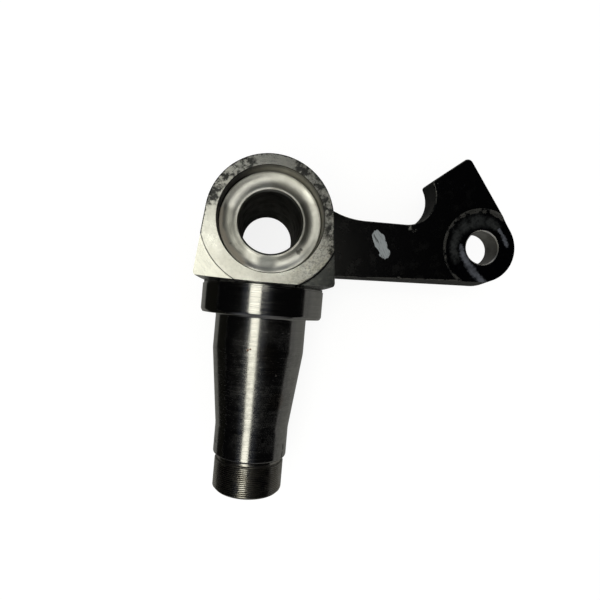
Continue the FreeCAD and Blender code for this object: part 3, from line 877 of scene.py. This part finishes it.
def bevelled_reach(y):
    """How far out the bevels let the thread reach at this place along the spindle."""
    after_start = NECK_RADIUS + max(THREAD_START - y, 0)
    before_end = THREAD_RADIUS - THREAD_BEVEL + max(y - THREAD_END, 0)
    return min(after_start, before_end)


def rim_at(shape, y):
    """The open edges of the shape that lie in the plane at y."""
    return [
        edge for edge in shape.edges
        if edge.is_boundary and all(abs(v.co.y - y) < MERGE_WITHIN for v in edge.verts)
    ]


def drawn_on(shape, rim, radius, y):
    """The new rim after the old one is drawn on to another radius and place."""
    made = bmesh.ops.extrude_edge_only(shape, edges=rim)["geom"]
    for point in (v for v in made if isinstance(v, bmesh.types.BMVert)):
        scale = radius / math.hypot(point.co.x, point.co.z)
        point.co = Vector((point.co.x * scale, y, point.co.z * scale))
    return [e for e in made if isinstance(e, bmesh.types.BMEdge)]


turns = round((THREAD_START - THREAD_END) / THREAD_PITCH) + SPARE_TURNS
flank = (THREAD_PITCH - CREST_WIDTH - ROOT_WIDTH) / 2
root = THREAD_RADIUS - THREAD_DEPTH
tooth = (
    (root, 0.0),
    (root, ROOT_WIDTH),
    (THREAD_RADIUS, ROOT_WIDTH + flank),
    (THREAD_RADIUS, ROOT_WIDTH + flank + CREST_WIDTH),
    (root, THREAD_PITCH),
)
first_root = THREAD_START + TURNS_AHEAD * THREAD_PITCH
threaded = bmesh.new()
tooth_points = [threaded.verts.new((radius, first_root - down, 0)) for radius, down in tooth]
tooth_edges = [threaded.edges.new(pair) for pair in zip(tooth_points, tooth_points[1:])]
bmesh.ops.spin(
    threaded,
    geom=tooth_points + tooth_edges,
    cent=(0, 0, 0),
    axis=(0, -1, 0),
    dvec=(0, -THREAD_PITCH / STEPS_A_TURN, 0),
    angle=math.tau * turns,
    steps=STEPS_A_TURN * turns,
)
bmesh.ops.remove_doubles(threaded, verts=threaded.verts, dist=MERGE_WITHIN)
for end, side in ((THREAD_START, 1), (THREAD_END, -1)):
    bmesh.ops.bisect_plane(
        threaded,
        geom=threaded.verts[:] + threaded.edges[:] + threaded.faces[:],
        plane_co=(0, end, 0),
        plane_no=(0, side, 0),
        clear_outer=True,
    )
for point in threaded.verts:
    reach = math.hypot(point.co.x, point.co.z)
    limit = bevelled_reach(point.co.y)
    if reach > limit:
        point.co.x *= limit / reach
        point.co.z *= limit / reach
cone_rim = drawn_on(threaded, rim_at(threaded, THREAD_END), CONE_RADIUS, THREAD_END)
hole_rim = drawn_on(threaded, cone_rim, CENTRE_RADIUS, THREAD_END + CONE_DEPTH)
floor_rim = drawn_on(threaded, hole_rim, CENTRE_RADIUS, THREAD_END + CENTRE_DEPTH)
tip_rim = drawn_on(threaded, floor_rim, CENTRE_TIP_RADIUS, THREAD_END + CENTRE_TIP)
neck_rim = drawn_on(threaded, rim_at(threaded, THREAD_START), NECK_RADIUS, NECK_CUT)
for rim in (tip_rim, neck_rim):
    bmesh.ops.contextual_create(threaded, geom=rim)
bmesh.ops.recalc_face_normals(threaded, faces=threaded.faces)
smooth_where_soft(threaded)
threaded_end = new_piece("threaded_end", threaded)

THREAD_STEEL = (0.46, 0.45, 0.43)
THREAD_DIRT = (0.33, 0.315, 0.285)
ROOT_SHADE = (0.07, 0.067, 0.06)
NICKED_CREST = (0.12, 0.11, 0.1)

thread_steel, tree, surface, position = new_material("thread_steel", 1.0)
from_axis = radius_about(tree, position, "Y")
along = part_of(tree, position, "Y")
dirt = cloudy(tree, position, size=5, share=0.52, edge=0.12)
nicked = cloudy(tree, position, size=1.2, share=0.34, edge=0.04)
# Painted shade: the thread's roots are coloured darker than its crests
grooved = both(
    tree,
    fade(tree, from_axis, 18.65 * MM, 18.3 * MM),
    fade(tree, along, -124.6 * MM, -125.4 * MM),
)
colour = layered(
    tree, tinted(tree, dirt, THREAD_STEEL, THREAD_DIRT),
    (ROOT_SHADE, grooved, 0.8),
    (NICKED_CREST, nicked, 0.35),
)
roughness = summed(tree, 0.13, (dirt, 0.12), (grooved, 0.2))
dress(tree, surface, colour, roughness, height=nicked, depth=0.01 * MM)
threaded_end.data.materials.append(thread_steel)
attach(threaded_end, "root")


# The studio: a pale floor that the part stands on, a strip lamp and a soft lamp over it,
# an even sky, and a dark room round it that only reflections see, as over the real part.

FLOOR_LEVEL = -39.1 * MM
FLOOR_HALF = 4.0
FLOOR_GREY = (0.2, 0.2, 0.2, 1)
FLOOR_GLOW = 0.86
MATT = 0.9
WHITE = (1, 1, 1, 1)


def seen_by_eye(tree):
    """1 for what the camera sees straight, in gloss or through glass, 0 for the light it gives."""
    paths = add_node(tree, "ShaderNodeLightPath").outputs
    kinds = ("Is Camera Ray", "Is Glossy Ray", "Is Transmission Ray")
    return either(tree, *(paths[kind] for kind in kinds))


floor_shape = bmesh.new()
bmesh.ops.create_grid(floor_shape, x_segments=1, y_segments=1, size=FLOOR_HALF)
bmesh.ops.translate(floor_shape, verts=floor_shape.verts, vec=(0, 0, FLOOR_LEVEL))
floor = new_piece("floor", floor_shape)
floor_paper, tree, surface, _ = new_material("floor_paper", 0.0)
surface["Base Color"].default_value = FLOOR_GREY
surface["Roughness"].default_value = MATT
surface["Specular IOR Level"].default_value = 0.0
surface["Emission Color"].default_value = WHITE
glow = calc(tree, "MULTIPLY", seen_by_eye(tree), FLOOR_GLOW)
tree.links.new(glow, surface["Emission Strength"])
floor.data.materials.append(floor_paper)

# The bench that the real part lay on: the steel mirrors it, the cut-out picture leaves it out
BENCH_RADIUS = 2.4
BENCH_LEVEL = -39.05 * MM
BENCH_LEFT_EDGE = -88.0 * MM
EDGE_BLUR = 6 * MM
BENCH_GREY = (0.28, 0.28, 0.272)
PAST_THE_BENCH = (0.012, 0.012, 0.01)
ROOM_STEPS = 64
ROOM_RINGS = 32

bench_shape = bmesh.new()
bmesh.ops.create_circle(bench_shape, cap_ends=True, segments=ROOM_STEPS, radius=BENCH_RADIUS)
bmesh.ops.translate(bench_shape, verts=bench_shape.verts, vec=(0, 0, BENCH_LEVEL))
bench = new_piece("bench", bench_shape)
bench_top, tree, surface, position = new_material("bench_top", 0.0)
to_right = part_of(tree, position, "X")
dark_side = fade(tree, to_right, BENCH_LEFT_EDGE + EDGE_BLUR, BENCH_LEFT_EDGE - EDGE_BLUR)
tree.links.new(tinted(tree, dark_side, BENCH_GREY, PAST_THE_BENCH), surface["Base Color"])
surface["Roughness"].default_value = MATT
surface["Specular IOR Level"].default_value = 0.0
bench.data.materials.append(bench_top)

# The dark room round the bench, a little lighter ahead, overhead and low on the right
ROOM_RADIUS = 2.5
ROOM_DARK = (0.004, 0.004, 0.0045)
OVERHEAD = (0.035, 0.04, 0.055)
LOW_ON_THE_RIGHT = (0.2, 0.198, 0.19)
AHEAD = (0.3, 0.3, 0.3)

room_shape = bmesh.new()
bmesh.ops.create_uvsphere(
    room_shape, u_segments=ROOM_STEPS, v_segments=ROOM_RINGS, radius=ROOM_RADIUS
)
room = new_piece("room", room_shape)
for piece in (bench, room):
    for seen_by in ("camera", "diffuse", "transmission", "volume_scatter", "shadow"):
        setattr(piece, "visible_" + seen_by, False)
room_walls = bpy.data.materials.new("room_walls")
room_walls.use_nodes = True
tree = room_walls.node_tree
tree.nodes.clear()
position = add_node(tree, "ShaderNodeTexCoord").outputs["Object"]
outlook = vector_calc(tree, "MULTIPLY", position, (1 / ROOM_RADIUS,) * 3)
to_right, to_back, height = (part_of(tree, outlook, axis) for axis in "XYZ")
overhead = both(tree, fade(tree, to_right, -0.66, -0.5), fade(tree, to_right, 0.36, -0.02))
low_right = both(tree, fade(tree, height, 0.17, 0.11), fade(tree, to_right, 0.0, 0.3))
ahead = fade(tree, calc(tree, "ABSOLUTE", to_back), 0.7, 0.95)
colour = layered(
    tree, ROOM_DARK, (OVERHEAD, overhead, 1), (LOW_ON_THE_RIGHT, low_right, 1), (AHEAD, ahead, 0.8)
)
glow = add_node(tree, "ShaderNodeEmission", {"Color": colour, "Strength": 1.0})
add_node(tree, "ShaderNodeOutputMaterial", {"Surface": glow.outputs["Emission"]})
room.data.materials.append(room_walls)

# Lamps that shine straight down: where each one's middle is, its two sides in metres,
# its watts and its colour
CREAM = (1.0, 0.985, 0.85)
LAMPS = {
    "strip": ((-0.267, -0.34, 1.0), (0.367, 1.12), 3.48, CREAM),
    "strip_top": ((-0.267, 0.085, 1.0), (0.367, 0.11), 0.35, CREAM),
    "strip_side": ((0.024, 0.095, 1.0), (0.213, 0.09), 0.27, CREAM),
    "soft_box": ((0.0, 0.0, 1.4), (1.6, 1.6), 2.4, WHITE[:3]),
}
for name, (middle, sides, watts, colour) in LAMPS.items():
    light = bpy.data.lights.new(name, "AREA")
    light.shape = "RECTANGLE"
    light.size, light.size_y = sides
    light.energy = watts
    light.color = colour
    lamp = bpy.data.objects.new(name, light)
    lamp.location = middle
    lamp.visible_camera = False
    lamp.visible_glossy = name != "soft_box"
    bpy.context.scene.collection.objects.link(lamp)

SKY_LIGHT = 0.5
SKY_SEEN = 1.0
sky = bpy.data.worlds.new("sky")
sky.use_nodes = True
sky_glow = sky.node_tree.nodes["Background"].inputs
sky_glow["Color"].default_value = WHITE
sky_level = fade(sky.node_tree, seen_by_eye(sky.node_tree), 0.0, 1.0, SKY_LIGHT, SKY_SEEN)
sky.node_tree.links.new(sky_level, sky_glow["Strength"])
bpy.context.scene.world = sky

# The camera of the photograph, almost straight over the boss
CAMERA_PLACE = Vector((-3.99, -39.79, 243.19)) * MM
CAMERA_RIGHT = Vector((0.99099, 0.086, 0.10268))
CAMERA_UP = Vector((-0.08693, 0.9962, 0.00458))
CAMERA_BACK = Vector((-0.1019, -0.01347, 0.9947))
FILM_WIDTH = 36.0
FOCAL_LENGTH = 25.98
NEAREST_SEEN = 0.01

lens = bpy.data.cameras.new("camera")
lens.sensor_width = FILM_WIDTH
lens.lens = FOCAL_LENGTH
lens.clip_start = NEAREST_SEEN
camera = bpy.data.objects.new("camera", lens)
turned_camera = Matrix((CAMERA_RIGHT, CAMERA_UP, CAMERA_BACK)).transposed()
camera.matrix_world = Matrix.Translation(CAMERA_PLACE) @ turned_camera.to_4x4()
bpy.context.scene.collection.objects.link(camera)
bpy.context.scene.camera = camera
bpy.context.scene.view_settings.view_transform = "Standard"
